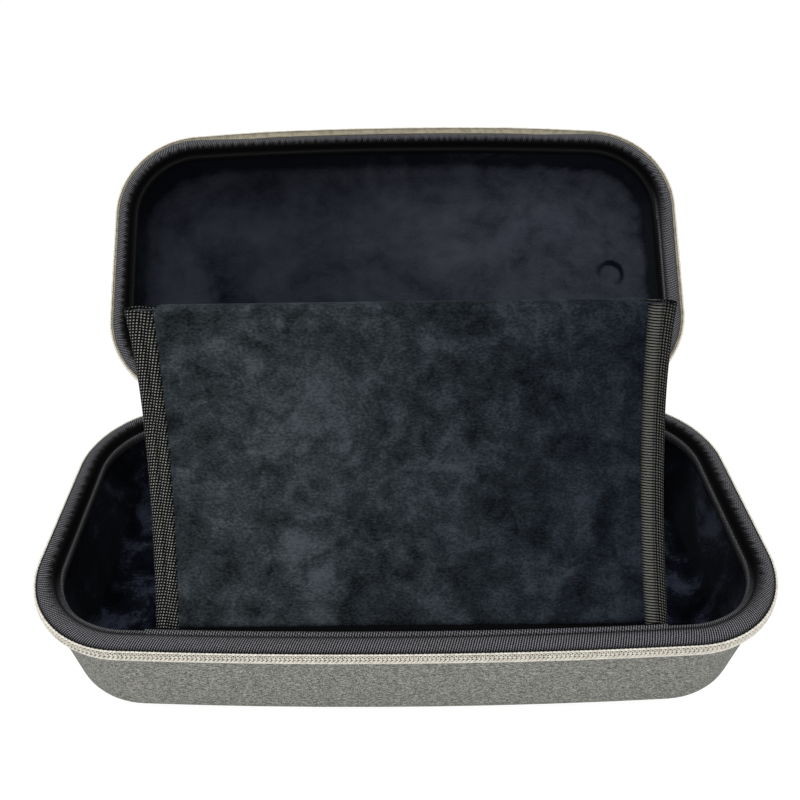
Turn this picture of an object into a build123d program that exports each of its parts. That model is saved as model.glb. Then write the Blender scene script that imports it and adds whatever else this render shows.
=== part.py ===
from build123d import *
import os
from math import cos, radians, sin, sqrt

# Zip-around clamshell case for a handheld game console, standing open.
# Millimetres and degrees. The origin is the middle of the flat underside, +Z is up and -Y is the front.
# Both halves are drawn from the hinge axis: local x along the hinge, local y to the front edge,
# local z from the parting plane into the half.

# Rim outline, shared by the base and the lid
rim_width = 302.0
rim_depth = 147.0
front_bow = 5.0
corner_radius = 42.5

# Moulded shells
base_height = 56.0
lid_height = 33.0
upright_band = 11.0
draft_angle = 6.0
edge_radius = 12.0
shell_wall = 4.0
rim_radius = 2.4

# Plush lining
lining_wall = 2.0
lining_edge_radius = 6.0
layer_gap = 0.1

# Press mark that a control stick left in the lid's lining
press_mark_radius = 6.0
press_mark_depth = 1.2
press_mark_x = 124.0
press_mark_from_hinge = 77.5

# Ribbed binding tape over each rim
parting_gap = 0.6
binding_thickness = 1.0
binding_drop = 8.0

# Zip halves
zip_gap = 0.3
zip_tape_thickness = 0.7
zip_tape_drop = 7.5
zip_coil_thickness = 1.9
zip_coil_height = 6.0
zip_coil_bevel = 0.6
zip_fit = 0.05

# Fabric hinge along the back
lid_angle = 139.0
hinge_offset = 5.0
hinge_margin = 18.5
hinge_strip_thickness = 1.0
hinge_strip_drop = 8.0
hinge_strip_bend = 4.5
hinge_strip_bend_radius = 1.6

# Zip sliders and pull tabs
slider_length = 11.0
slider_width = 8.0
slider_plate = 1.2
slider_back_plate = 0.6
slider_gap = 1.0
slider_corner_radius = 2.5
slider_throat = 2.2
slider_post_radius = 1.5
slider_post_inset = 3.0
coil_entry = 4.0
lid_zip_setback = 4.0
swivel_radius = 0.9
swivel_head_radius = 1.9
swivel_head_thickness = 0.7
pull_length = 24.0
pull_width = 5.5
pull_thickness = 1.1
pull_play = 0.3

# Padded divider flap
flap_width = 202.0
flap_lean = 29.0
flap_bend = 26.5
flap_drop = 5.0
flap_setback = 1.9
flap_tip_clearance = 0.8
flap_hem = 1.0
flap_board_thickness = 2.0
flap_plush = 2.0
flap_binding_thickness = 0.8
flap_binding_width = 9.5
flap_binding_top_gap = 3.0
seam_tape_thickness = 0.8
seam_tape_height = 3.5
seam_bend_radius = 0.6

# Sizes that follow from the above
hinge_y = rim_depth / 2 + hinge_offset
hinge_length = rim_width - 2 * (corner_radius + hinge_margin)
rim_top = parting_gap + binding_thickness + layer_gap
lining_inset = shell_wall + layer_gap
cavity_inset = lining_inset + lining_wall
binding_out = layer_gap + binding_thickness
rim_stack = cavity_inset + binding_out
crest_radius = rim_radius + binding_out
inner_edge_radius = max(edge_radius - shell_wall, layer_gap)
zip_tape_out = binding_out + layer_gap + zip_tape_thickness
zip_coil_in = zip_tape_out + zip_fit
zip_coil_out = zip_coil_in + zip_coil_thickness
slider_x = hinge_length / 2 + slider_gap + slider_length / 2
zip_end = slider_x + slider_length / 2 + slider_gap
coil_end = slider_x + slider_length / 2 - coil_entry
lid_zip_end = zip_end + lid_zip_setback
back_cut = 2 * (hinge_offset + rim_stack)

# Hidden edges are bevelled where the seen ones are round, with the same wall left at their middle
bevel_share = 2 - sqrt(2)
hidden_floor_bevel = bevel_share * inner_edge_radius
hidden_rim_bevel = bevel_share * rim_radius

# The two halves: name, rim plane, height, and where the zip's tape and coil end beside the hinge
base_rim = Plane(origin=(0, hinge_y, base_height), x_dir=(1, 0, 0), z_dir=(0, 0, -1))
lid_inward = (0, sin(radians(lid_angle)), cos(radians(lid_angle)))
lid_rim = Plane(origin=(0, hinge_y, base_height), x_dir=(-1, 0, 0), z_dir=lid_inward)
halves = [
    ("base", base_rim, base_height, zip_end, coil_end),
    ("lid", lid_rim, lid_height, lid_zip_end, lid_zip_end),
]

os.makedirs("parts", exist_ok=True)


def save(name, part):
    """Label a finished piece and write it to its own file."""
    part.label = name
    export_step(part, f"parts/{name}.step")


def outline(plane, inset):
    """The rim's outline on a plane, moved in by inset: straight back, bowed front, round corners."""
    half = rim_width / 2
    back = hinge_offset
    front = hinge_offset + rim_depth
    with BuildSketch(plane) as face:
        with BuildLine():
            Polyline((half, front - front_bow), (half, back), (-half, back), (-half, front - front_bow))
            ThreePointArc((-half, front - front_bow), (0, front), (half, front - front_bow))
        make_face()
        fillet(face.vertices(), corner_radius)
        if inset:
            offset(amount=-inset)
    return face.sketch


def tub(plane, inset, top, floor, edge, ease=fillet):
    """A block with an upright band at the rim, drafted sides below it and an eased floor edge."""
    inward = plane.z_dir
    with BuildPart() as block:
        extrude(outline(plane.offset(top), inset), amount=upright_band - top, dir=inward)
        sides = outline(plane.offset(upright_band), inset)
        extrude(sides, amount=floor - upright_band, dir=inward, taper=draft_angle)
        floor_face = block.faces().sort_by(Axis(plane.origin, inward))[-1]
        ease(floor_face.edges(), edge)
    return block.part


def upright_ring(plane, outer, inner, top, bottom):
    """An upright band that follows the rim, between two insets and two depths."""
    inward = plane.z_dir
    with BuildPart() as ring:
        extrude(outline(plane.offset(top), outer), amount=bottom - top, dir=inward)
        extrude(outline(plane.offset(top), inner), amount=bottom - top, dir=inward, mode=Mode.SUBTRACT)
    return ring.part


def rim_face(part, plane):
    """The face of a piece that lies nearest to the parting plane."""
    return part.faces().sort_by(Axis(plane.origin, plane.z_dir))[0]


def back_section(plane, out, depth):
    """A point of a half's back section as (y, z): out from the shell's back, depth from the rim."""
    point = plane.from_local_coords((0, hinge_offset - out, depth))
    return (point.Y, point.Z)


# Shells, linings, bindings and zip halves of the base and the lid
for half_name, rim, height, tape_half, coil_half in halves:
    with BuildPart() as shell:
        add(tub(rim, 0, rim_top, height, edge_radius))
        hollow = tub(rim, shell_wall, 0, height - shell_wall, hidden_floor_bevel, chamfer)
        add(hollow, mode=Mode.SUBTRACT)
        chamfer(rim_face(shell, rim).outer_wire().edges(), hidden_rim_bevel)
    save(f"{half_name}_shell", shell.part)

    lining_floor = height - lining_inset
    with BuildPart() as lining:
        add(tub(rim, lining_inset, rim_top, lining_floor, hidden_floor_bevel, chamfer))
        cavity = tub(rim, cavity_inset, 0, lining_floor - lining_wall, lining_edge_radius)
        add(cavity, mode=Mode.SUBTRACT)
        chamfer(rim_face(lining, rim).inner_wires()[0].edges(), hidden_rim_bevel)
        if half_name == "lid":
            with BuildSketch(rim.offset(lining_floor - lining_wall)):
                with Locations((-press_mark_x, press_mark_from_hinge)):
                    Circle(press_mark_radius)
            extrude(amount=press_mark_depth, mode=Mode.SUBTRACT)
    save(f"{half_name}_lining", lining.part)

    with BuildPart() as rim_core:
        add(upright_ring(rim, -layer_gap, cavity_inset + layer_gap, rim_top - layer_gap, binding_drop))
        chamfer(rim_face(rim_core, rim).edges(), hidden_rim_bevel)
    with BuildPart() as binding:
        add(upright_ring(rim, -binding_out, rim_stack, parting_gap, binding_drop))
        fillet(rim_face(binding, rim).edges(), crest_radius)
        add(rim_core.part, mode=Mode.SUBTRACT)
    save(f"{half_name}_binding", binding.part)

    with BuildPart() as zip_tape:
        add(upright_ring(rim, -zip_tape_out, -binding_out - layer_gap, zip_gap, zip_tape_drop))
        with BuildSketch(rim):
            Rectangle(2 * tape_half, back_cut)
        extrude(amount=zip_tape_drop, mode=Mode.SUBTRACT)
    save(f"{half_name}_zip_tape", zip_tape.part)

    with BuildPart() as zip_coil:
        add(upright_ring(rim, -zip_coil_out, -zip_coil_in, zip_gap, zip_gap + zip_coil_height))
        rims = zip_coil.faces().sort_by(Axis(rim.origin, rim.z_dir))
        chamfer(rims[0].outer_wire().edges() + rims[-1].outer_wire().edges(), zip_coil_bevel)
        with BuildSketch(rim):
            Rectangle(2 * coil_half, back_cut)
        extrude(amount=zip_tape_drop, mode=Mode.SUBTRACT)
    save(f"{half_name}_zip_coil", zip_coil.part)

# Hinge strip: down the base's back, round the hinge axis and down the lid's back
strip_mid = binding_out + layer_gap + hinge_strip_thickness / 2
strip_route = [
    back_section(base_rim, strip_mid, hinge_strip_drop),
    back_section(base_rim, strip_mid, hinge_strip_bend),
    (hinge_y, base_height),
    back_section(lid_rim, strip_mid, hinge_strip_bend),
    back_section(lid_rim, strip_mid, hinge_strip_drop),
]
with BuildPart() as hinge_strip:
    with BuildSketch(Plane.YZ.offset(-hinge_length / 2)):
        with BuildLine():
            FilletPolyline(*strip_route, radius=hinge_strip_bend_radius)
            offset(amount=hinge_strip_thickness / 2, side=Side.BOTH)
        make_face()
    extrude(amount=hinge_length)
save("hinge_strip", hinge_strip.part)

# Zip sliders, each parked at the hinge end of the zip, and the pull tabs that hang on them
slider_z = base_height - slider_width / 2
back_plate_out = binding_out + layer_gap
throat_out = back_plate_out + slider_back_plate
front_plate_out = throat_out + slider_throat
swivel_out = front_plate_out + slider_plate
head_out = swivel_out + pull_thickness + 2 * pull_play
for side_name, side in (("left", -1), ("right", 1)):
    slider_back = Plane(
        origin=(side * slider_x, rim_depth / 2, slider_z), x_dir=(-1, 0, 0), z_dir=(0, 1, 0)
    )
    with BuildPart() as slider:
        for plate_out, plate in ((back_plate_out, slider_back_plate), (front_plate_out, slider_plate)):
            with BuildSketch(slider_back.offset(plate_out)):
                RectangleRounded(slider_length, slider_width, slider_corner_radius)
            extrude(amount=plate)
        with BuildSketch(slider_back.offset(throat_out)):
            with Locations((side * (slider_length / 2 - slider_post_inset), 0)):
                Circle(slider_post_radius)
        extrude(amount=slider_throat)
        with BuildSketch(slider_back.offset(swivel_out)):
            Circle(swivel_radius)
        extrude(amount=head_out - swivel_out)
        with BuildSketch(slider_back.offset(head_out)):
            Circle(swivel_head_radius)
        extrude(amount=swivel_head_thickness)
    save(f"zip_slider_{side_name}", slider.part)

    pull_run = pull_length - pull_width
    with BuildPart() as pull:
        with BuildSketch(slider_back.offset(swivel_out + pull_play)):
            with Locations((0, -pull_run / 2)):
                SlotCenterToCenter(pull_run, pull_width, rotation=90)
            Circle(swivel_radius + pull_play, mode=Mode.SUBTRACT)
        extrude(amount=pull_thickness)
    save(f"zip_pull_{side_name}", pull.part)

# Divider flap: its hinge line lies just inside the front rim, and its front face holds that line
bow_at_flap = front_bow * (flap_width / rim_width) ** 2
flap_y = -rim_depth / 2 + rim_stack + bow_at_flap + flap_setback
flap_z = base_height - flap_drop
flap_length = rim_depth / 2 - rim_stack - flap_tip_clearance - flap_y
flap_up = (0, sin(radians(flap_lean)), cos(radians(flap_lean)))
flap_thickness = flap_board_thickness + 2 * (flap_plush + layer_gap)
flap_binding_out = layer_gap + flap_binding_thickness
cover_width = flap_width - 2 * flap_binding_out
flap_side = Plane(origin=(0, flap_y, flap_z), x_dir=flap_up, z_dir=(1, 0, 0))
half_bend = radians(flap_bend) / 2
bend_radius = flap_length / radians(flap_bend)


def bent(up, out):
    """A point of the flap's bowed side section: up along its front face, out in front of that face."""
    turn = up / bend_radius - half_bend
    reach = bend_radius - out
    return (
        bend_radius * sin(half_bend) + reach * sin(turn),
        bend_radius * cos(half_bend) - reach * cos(turn),
    )


def bent_layer(low, high, front, back):
    """Outline of a bowed layer of the flap, between two heights and two distances from the front face."""
    middle = (low + high) / 2
    ThreePointArc(bent(low, front), bent(middle, front), bent(high, front))
    ThreePointArc(bent(low, back), bent(middle, back), bent(high, back))
    Line(bent(low, front), bent(low, back))
    return bent(high, front), bent(high, back)


# Plush sleeve, folded over the top edge with the board inside
fold_radius = flap_thickness / 2
sleeve_depth = flap_length - flap_plush - layer_gap
with BuildPart() as flap_cover:
    with BuildSketch(flap_side.offset(-cover_width / 2)):
        with BuildLine():
            fold = bent_layer(flap_hem, flap_length - fold_radius, 0, -flap_thickness)
            ThreePointArc(fold[0], bent(flap_length, -fold_radius), fold[1])
        make_face()
        with BuildLine():
            Line(*bent_layer(flap_hem, sleeve_depth, -flap_plush, flap_plush - flap_thickness))
        make_face(mode=Mode.SUBTRACT)
    extrude(amount=cover_width)
save("flap_cover", flap_cover.part)

board_front = -flap_plush - layer_gap
with BuildPart() as flap_board:
    with BuildSketch(flap_side.offset(-cover_width / 2)):
        with BuildLine():
            Line(*bent_layer(flap_hem, sleeve_depth - layer_gap, board_front, board_front - flap_board_thickness))
        make_face()
    extrude(amount=cover_width)
save("flap_board", flap_board.part)

# Woven tape folded round each side edge of the flap
tape_top = flap_length - flap_binding_top_gap
outer_x = flap_width / 2
inner_x = outer_x - flap_binding_width
slot_width = flap_binding_width - flap_binding_thickness
for side_name, side in (("left", -1), ("right", 1)):
    with BuildPart() as flap_binding:
        with BuildSketch(flap_side.offset(side * inner_x)):
            with BuildLine():
                Line(*bent_layer(flap_hem, tape_top, flap_binding_out, -flap_thickness - flap_binding_out))
            make_face()
        extrude(amount=side * flap_binding_width)
        outer_edges = flap_binding.edges().group_by(Axis.X)[0 if side < 0 else -1]
        fillet(outer_edges.filter_by(GeomType.CIRCLE), flap_binding_out)
        with BuildSketch(flap_side.offset(side * inner_x)):
            with BuildLine():
                Line(*bent_layer(flap_hem, tape_top, layer_gap, -flap_thickness - layer_gap))
            make_face()
        extrude(amount=side * slot_width, mode=Mode.SUBTRACT)
    save(f"flap_binding_{side_name}", flap_binding.part)

# Seam tape: down inside the front rim, round the hinge line and up the flap's front face
rim_leg_y = -rim_depth / 2 + rim_stack + bow_at_flap + layer_gap + seam_tape_thickness / 2
seam_out = flap_binding_out + layer_gap + seam_tape_thickness / 2
seam_top = flap_side.from_local_coords((*bent(seam_tape_height, seam_out), 0))
foot_lean = radians(flap_lean) + half_bend
seam_fall = (seam_top.Y - rim_leg_y) / sin(foot_lean)
with BuildPart() as flap_seam_tape:
    with BuildSketch(Plane.YZ.offset(-flap_width / 2)):
        with BuildLine():
            FilletPolyline(
                (rim_leg_y, base_height - rim_top),
                (rim_leg_y, seam_top.Z - seam_fall * cos(foot_lean)),
                (seam_top.Y, seam_top.Z),
                radius=seam_bend_radius,
            )
            offset(amount=seam_tape_thickness / 2, side=Side.BOTH)
        make_face()
    extrude(amount=flap_width)
save("flap_seam_tape", flap_seam_tape.part)
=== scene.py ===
"""Looks of a zip-around case for a handheld game console, standing open with its divider flap raised."""

import logging
import math
from dataclasses import dataclass, field
from enum import Enum
from typing import Callable, Optional, Sequence

import bpy
import numpy as np
from mathutils import Matrix, Vector, noise


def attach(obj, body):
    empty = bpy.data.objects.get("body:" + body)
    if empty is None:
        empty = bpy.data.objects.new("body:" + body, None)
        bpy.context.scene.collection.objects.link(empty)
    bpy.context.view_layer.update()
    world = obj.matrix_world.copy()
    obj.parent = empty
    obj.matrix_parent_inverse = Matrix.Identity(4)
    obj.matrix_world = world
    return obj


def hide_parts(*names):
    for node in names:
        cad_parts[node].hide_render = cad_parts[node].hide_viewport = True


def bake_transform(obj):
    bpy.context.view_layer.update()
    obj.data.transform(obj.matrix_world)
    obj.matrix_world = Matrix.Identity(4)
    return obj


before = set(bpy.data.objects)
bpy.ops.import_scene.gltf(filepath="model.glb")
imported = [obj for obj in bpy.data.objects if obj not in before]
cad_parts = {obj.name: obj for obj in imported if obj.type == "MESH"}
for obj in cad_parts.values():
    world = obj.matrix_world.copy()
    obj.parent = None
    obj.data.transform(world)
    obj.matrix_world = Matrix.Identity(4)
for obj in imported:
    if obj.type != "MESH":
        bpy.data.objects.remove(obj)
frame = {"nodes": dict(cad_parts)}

LOG = logging.getLogger("console_case")
MM = 0.001
WHITE = (1.0, 1.0, 1.0, 1.0)
Array = np.ndarray
Piece = bpy.types.Object
Material = bpy.types.Material
Tree = bpy.types.NodeTree
Socket = bpy.types.NodeSocket
Section = list[tuple[float, ...]]
Profile = Callable[[Array, Array], tuple[Array, Array]]
Look = tuple[Socket, Socket, float]
Waves = tuple[tuple[float, float, float], ...]


class Half(Enum):
    """The two halves of the case, by the name of their body."""

    BASE = "base"
    LID = "lid"


class Side(Enum):
    """Left and right of the case, as the sign of x."""

    LEFT = -1
    RIGHT = 1


# ---- small tools ----


def linear(code: str) -> tuple[float, float, float, float]:
    """Turn an sRGB hex colour into linear RGBA.

    Args:
        code: six hex digits after a #.

    Returns:
        The linear red, green, blue and an alpha of 1.
    """
    values = [int(code[i:i + 2], 16) / 255 for i in (1, 3, 5)]
    lin = [v / 12.92 if v <= 0.04045 else ((v + 0.055) / 1.055) ** 2.4 for v in values]
    return (lin[0], lin[1], lin[2], 1.0)


def add_node(
    tree: Tree,
    kind: str,
    links: Optional[dict] = None,
    stops: Sequence[tuple[float, str]] = (),
    **settings: object,
) -> bpy.types.Node:
    """Add a node with its settings, input values and links.

    Args:
        tree: the node tree.
        kind: the node's type name after ShaderNode.
        links: input names or numbers, each with a value or an output socket.
        stops: for a colour ramp, places from 0 to 1 with their hex colours.
        settings: attributes to set on the node.

    Returns:
        The new node.
    """
    made = tree.nodes.new(f"ShaderNode{kind}")
    for name, value in settings.items():
        setattr(made, name, value)
    for name, value in (links or {}).items():
        if isinstance(value, Socket):
            tree.links.new(value, made.inputs[name])
        else:
            made.inputs[name].default_value = value
    for i, (place, code) in enumerate(stops):
        elements = made.color_ramp.elements
        element = elements[i] if i < len(elements) else elements.new(place)
        element.position = place
        element.color = linear(code)
    return made


def select_only(piece: Piece) -> None:
    """Make a piece the only selected one, and the active one.

    Args:
        piece: the piece.
    """
    bpy.ops.object.select_all(action="DESELECT")
    piece.select_set(True)
    bpy.context.view_layer.objects.active = piece


def name_piece(name: str) -> Piece:
    """Name the piece that an operator has just added, and its mesh.

    Args:
        name: the name.

    Returns:
        The piece.
    """
    piece = bpy.context.object
    piece.name = name
    piece.data.name = name
    return piece


def add_grid(name: str, columns: int, rows: int) -> tuple[Piece, Array, Array]:
    """Add a grid, to be shaped.

    Args:
        name: the piece's name.
        columns: faces along the first direction.
        rows: faces along the second direction.

    Returns:
        The grid and each vertex's share of the way along either direction.
    """
    bpy.ops.object.select_all(action="DESELECT")
    bpy.ops.mesh.primitive_grid_add(x_subdivisions=columns, y_subdivisions=rows, size=1.0)
    grid = name_piece(name)
    return (grid, *(get_points(grid)[:, :2] + 0.5).T)


def get_points(piece: Piece) -> Array:
    """The piece's vertices as an array of rows.

    Args:
        piece: the piece.

    Returns:
        Rows of x, y and z in the units of its mesh.
    """
    points = np.zeros(len(piece.data.vertices) * 3)
    piece.data.vertices.foreach_get("co", points)
    return points.reshape(-1, 3)


def set_points(piece: Piece, points: Array) -> None:
    """Move the piece's vertices to these places."""
    piece.data.vertices.foreach_set("co", np.asarray(points, float).ravel())
    piece.data.update()


def paint(piece: Piece, name: str, values: Array) -> None:
    """Store one number for each vertex, for a material to read."""
    layer = piece.data.attributes.new(name, "FLOAT", "POINT")
    layer.data.foreach_set("value", np.asarray(values, np.float32))


def set_uv(piece: Piece, across: Array, along: Array) -> None:
    """Write each vertex's UV in metres, so that patterns keep their real scale.

    Args:
        piece: the piece.
        across: places for u, one for each vertex.
        along: places for v.
    """
    layer = piece.data.uv_layers.active
    index = np.zeros(len(piece.data.loops), int)
    piece.data.loops.foreach_get("vertex_index", index)
    layer.data.foreach_set("uv", np.c_[across[index], along[index]].ravel())


def apply_modifier(piece: Piece, kind: str, **settings: object) -> None:
    """Add a modifier with its settings and apply it.

    Args:
        piece: the piece.
        kind: the modifier's type.
        settings: attributes to set on the modifier.
    """
    select_only(piece)
    made = piece.modifiers.new(kind.lower(), kind)
    for name, value in settings.items():
        setattr(made, name, value)
    bpy.ops.object.modifier_apply(modifier=made.name)


def close_up(piece: Piece, fill: bool = False) -> None:
    """Weld the ends of a piece that meet and turn its faces outwards.

    Args:
        piece: the piece.
        fill: whether its open ends are filled too.
    """
    select_only(piece)
    bpy.ops.object.mode_set(mode="EDIT")
    bpy.ops.mesh.select_all(action="SELECT")
    bpy.ops.mesh.remove_doubles(threshold=0.02 * MM)
    if fill:
        bpy.ops.mesh.select_all(action="DESELECT")
        bpy.ops.mesh.select_mode(type="EDGE")
        bpy.ops.mesh.select_non_manifold()
        bpy.ops.mesh.fill()
        bpy.ops.mesh.select_all(action="SELECT")
        bpy.ops.mesh.normals_make_consistent(inside=False)
    bpy.ops.object.mode_set(mode="OBJECT")


def shade(piece: Piece, angle: float = 50.0) -> None:
    """Shade a piece smooth, apart from edges sharper than the angle in degrees."""
    select_only(piece)
    bpy.ops.object.shade_smooth_by_angle(angle=math.radians(angle))


def join(pieces: Sequence[Piece], name: str) -> Piece:
    """Join pieces into the first one and name it.

    Args:
        pieces: the pieces.
        name: the name.

    Returns:
        The joined piece.
    """
    select_only(pieces[0])
    for piece in pieces:
        piece.select_set(True)
    bpy.ops.object.join()
    return name_piece(name)


def dress(piece: Piece, *materials: Material) -> Piece:
    """Give a piece these materials in place of its own.

    Args:
        piece: the piece.
        materials: its materials in order.

    Returns:
        The same piece.
    """
    piece.data.materials.clear()
    for material in materials:
        piece.data.materials.append(material)
    return piece


def lengths(line: Array) -> Array:
    """How far each point of a line lies from its first, along the line."""
    return np.r_[0, np.cumsum(np.hypot(*np.diff(line[:, :2], axis=0).T))]


def rounded(points: Section, count: int, rounds: int = 2) -> Array:
    """Round a section's corners by cutting them, and space its points evenly.

    Args:
        points: the section's corners, as two places and any further values.
        count: how many points to return.
        rounds: how many times the corners are cut.

    Returns:
        An array of count points.
    """
    line = np.array(points, float)
    for _ in range(rounds):
        near = 0.75 * line[:-1] + 0.25 * line[1:]
        far = 0.25 * line[:-1] + 0.75 * line[1:]
        middle = np.stack([near, far], 1).reshape(-1, line.shape[1])
        line = np.vstack([line[:1], middle, line[-1:]])
    steps = lengths(line)
    even = np.linspace(0, steps[-1], count)
    return np.stack([np.interp(even, steps, column) for column in line.T], 1)


def along_rows(rows: Array, order: Array) -> list[Array]:
    """Read each column of a table at row places that may fall between rows."""
    return [np.interp(order, np.arange(len(rows)), column) for column in rows.T]


def ripple(points: Array, wavelength: float, seed: float) -> Array:
    """Smooth heights from -1 to 1 at places, by a wavelength, both in metres, and a seed."""
    return np.array([noise.noise(Vector(p) / wavelength + Vector((seed, 0, 0))) for p in points])


def add_ripples(points: Array, waves: Waves) -> Array:
    """Add up ripples, each by its height, its wavelength in metres and its seed."""
    return sum(height * ripple(points, wavelength, seed) for height, wavelength, seed in waves)


def window(values: Array, low: float, high: float, soft: float) -> Array:
    """One between low and high, with soft ends.

    Args:
        values: where to read it.
        low: middle of the rise.
        high: middle of the fall.
        soft: width of the rise and of the fall.

    Returns:
        Shares from 0 to 1.
    """
    rise = np.clip((values - low) / soft + 0.5, 0, 1)
    fall = np.clip((high - values) / soft + 0.5, 0, 1)
    both = np.minimum(rise, fall)
    return both * both * (3 - 2 * both)


# ---- sizes and the rim's line ----


@dataclass(frozen=True)
class CaseSizes:
    """Sizes of the moulded halves, in millimetres and degrees, as in the solids."""

    rim_width: float = 302.0
    rim_depth: float = 147.0
    front_bow: float = 5.0
    corner_radius: float = 42.5
    base_height: float = 56.0
    lid_height: float = 33.0
    hinge_offset: float = 5.0
    lid_angle: float = 139.0
    upright_band: float = 11.0
    draft_angle: float = 6.0
    lining_inset: float = 6.1
    floor_radius: float = 6.0
    hinge_length: float = 180.0
    base_zip_end: float = 98.0
    lid_zip_end: float = 107.0

    @property
    def hinge_y(self) -> float:
        """Place of the hinge axis along y."""
        return self.rim_depth / 2 + self.hinge_offset

    def height(self, half: Half) -> float:
        """Outer height of a half."""
        return self.base_height if half is Half.BASE else self.lid_height


class Rim:
    """The rim's outline, which every strip on the case follows.

    A place on it is a run in millimetres from the middle of the back, an outset from the shell's
    face and a depth below the parting plane.
    """

    def __init__(self, sizes: CaseSizes) -> None:
        """Work out the outline's straight and round pieces.

        Args:
            sizes: the case's sizes.
        """
        self.sizes = sizes
        half, radius = sizes.rim_width / 2, sizes.corner_radius
        back, front = sizes.hinge_offset, sizes.hinge_offset + sizes.rim_depth
        bow_radius = (half**2 + sizes.front_bow**2) / (2 * sizes.front_bow)
        bow_y = front - bow_radius
        side_x = half - radius
        front_y = bow_y + math.sqrt((bow_radius - radius) ** 2 - side_x**2)
        turn = math.atan2(front_y - bow_y, side_x)
        quarter = math.pi / 2
        self.pieces: list[tuple] = [
            ("line", (0.0, back), (side_x, back)),
            ("arc", (side_x, back + radius), radius, -quarter, 0.0),
            ("line", (half, back + radius), (half, front_y)),
            ("arc", (side_x, front_y), radius, 0.0, turn),
            ("arc", (0.0, bow_y), bow_radius, turn, math.pi - turn),
            ("arc", (-side_x, front_y), radius, math.pi - turn, math.pi),
            ("line", (-half, front_y), (-half, back + radius)),
            ("arc", (-side_x, back + radius), radius, math.pi, math.pi + quarter),
            ("line", (-side_x, back), (0.0, back)),
        ]
        sides = [math.dist(p[1], p[2]) if p[0] == "line" else p[2] * (p[4] - p[3]) for p in self.pieces]
        self.starts = np.r_[0.0, np.cumsum(sides)]

    @property
    def length(self) -> float:
        """Length of the whole outline."""
        return float(self.starts[-1])

    def follow(self, run: Array) -> tuple[Array, Array]:
        """Find places on the outline and the directions out of it.

        Args:
            run: distances along the outline.

        Returns:
            The places and the outward directions, in the half's own plane.
        """
        run = np.mod(run, self.length)
        place, out = np.zeros((len(run), 2)), np.zeros((len(run), 2))
        index = np.clip(np.searchsorted(self.starts, run, side="right") - 1, 0, len(self.pieces) - 1)
        for i, piece in enumerate(self.pieces):
            here = index == i
            along = run[here] - self.starts[i]
            if piece[0] == "line":
                first, last = np.array(piece[1]), np.array(piece[2])
                way = (last - first) / np.linalg.norm(last - first)
                place[here] = first + along[:, None] * way
                out[here] = (way[1], -way[0])
            else:
                angle = piece[3] + along / piece[2]
                out[here] = np.c_[np.cos(angle), np.sin(angle)]
                place[here] = np.array(piece[1]) + piece[2] * out[here]
        return place, out

    def seat(self, half: Half, across: Array, along: Array, depth: Array) -> Array:
        """Bring places of a half's own plane into the case's frame.

        Args:
            half: the half.
            across: places along the hinge.
            along: places from the hinge axis towards the front edge.
            depth: depths from the parting plane.

        Returns:
            The places in metres.
        """
        sizes = self.sizes
        side, angle = (1, 0.0) if half is Half.BASE else (-1, math.radians(sizes.lid_angle))
        sine, cosine, depth = math.sin(angle), math.cos(angle), -side * np.asarray(depth)
        back, height = depth * sine - along * cosine, along * sine + depth * cosine
        return np.c_[side * np.asarray(across), sizes.hinge_y + back, sizes.base_height + height] * MM

    def lay(self, half: Half, run: Array, outset: Array, depth: Array) -> Array:
        """Lay places on the rim.

        Args:
            half: the half.
            run: distances along the outline.
            outset: distances out from the shell's face.
            depth: depths below the parting plane.

        Returns:
            The places in metres.
        """
        place, out = self.follow(run)
        spot = place + np.asarray(outset)[:, None] * out
        return self.seat(half, spot[:, 0], spot[:, 1], depth)

    def strip(
        self, name: str, half: Half, rows: int, profile: Profile, first: float, last: float, step: float
    ) -> tuple[Piece, Array, Array]:
        """Make a strip along the rim from a grid.

        Args:
            name: the strip's name.
            half: the half that carries it.
            rows: faces across it.
            profile: gives outset and depth from the row place and the run, inside to outside.
            first: run at which it starts.
            last: run at which it ends.
            step: length of a face along the run.

        Returns:
            The strip, with a UV map in metres, and each vertex's row place and run.
        """
        strip, along, across = add_grid(name, round((last - first) / step), rows)
        order = across * rows
        run = first + along * (last - first)
        outset, depth = profile(order, run)
        set_points(strip, self.lay(half, run, outset, depth))
        line = np.c_[profile(np.arange(rows + 1.0), np.full(rows + 1, first))]
        width = lengths(line)
        set_uv(strip, run * MM, np.interp(order, np.arange(rows + 1), width) * MM)
        return strip, order, run


# ---- finishes ----


def calc(tree: Tree, operation: str, first: object, second: object = 0.0) -> Socket:
    """Work out one sum from values or sockets."""
    return add_node(tree, "Math", {0: first, 1: second}, operation=operation).outputs[0]


def mix(tree: Tree, share: object, first: object, second: object) -> Socket:
    """Mix two numbers, each a value or a socket, by the share of the second."""
    return add_node(tree, "Mix", {0: share, 2: first, 3: second}, data_type="FLOAT").outputs[0]


def tint(tree: Tree, colour: Socket, other: Socket) -> Socket:
    """Multiply two colours."""
    links = {0: 1.0, 6: colour, 7: other}
    return add_node(tree, "Mix", links, data_type="RGBA", blend_type="MULTIPLY").outputs[2]


def ramp(tree: Tree, level: Socket, *stops: tuple[float, str]) -> Socket:
    """Turn a level from 0 to 1 into a colour by its stops."""
    return add_node(tree, "ValToRGB", {"Fac": level}, stops).outputs["Color"]


def grain(tree: Tree, place: Socket, size: float, **inputs: float) -> Socket:
    """Noise with spots of a size in metres, and further inputs of its node."""
    return add_node(tree, "TexNoise", {"Vector": place, "Scale": 1 / size, **inputs}).outputs["Fac"]


def mapped(tree: Tree, place: Socket, **inputs: tuple[float, float, float]) -> Socket:
    """Turn or scale places, by the mapping node's inputs."""
    return add_node(tree, "Mapping", {"Vector": place, **inputs}).outputs["Vector"]


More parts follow.
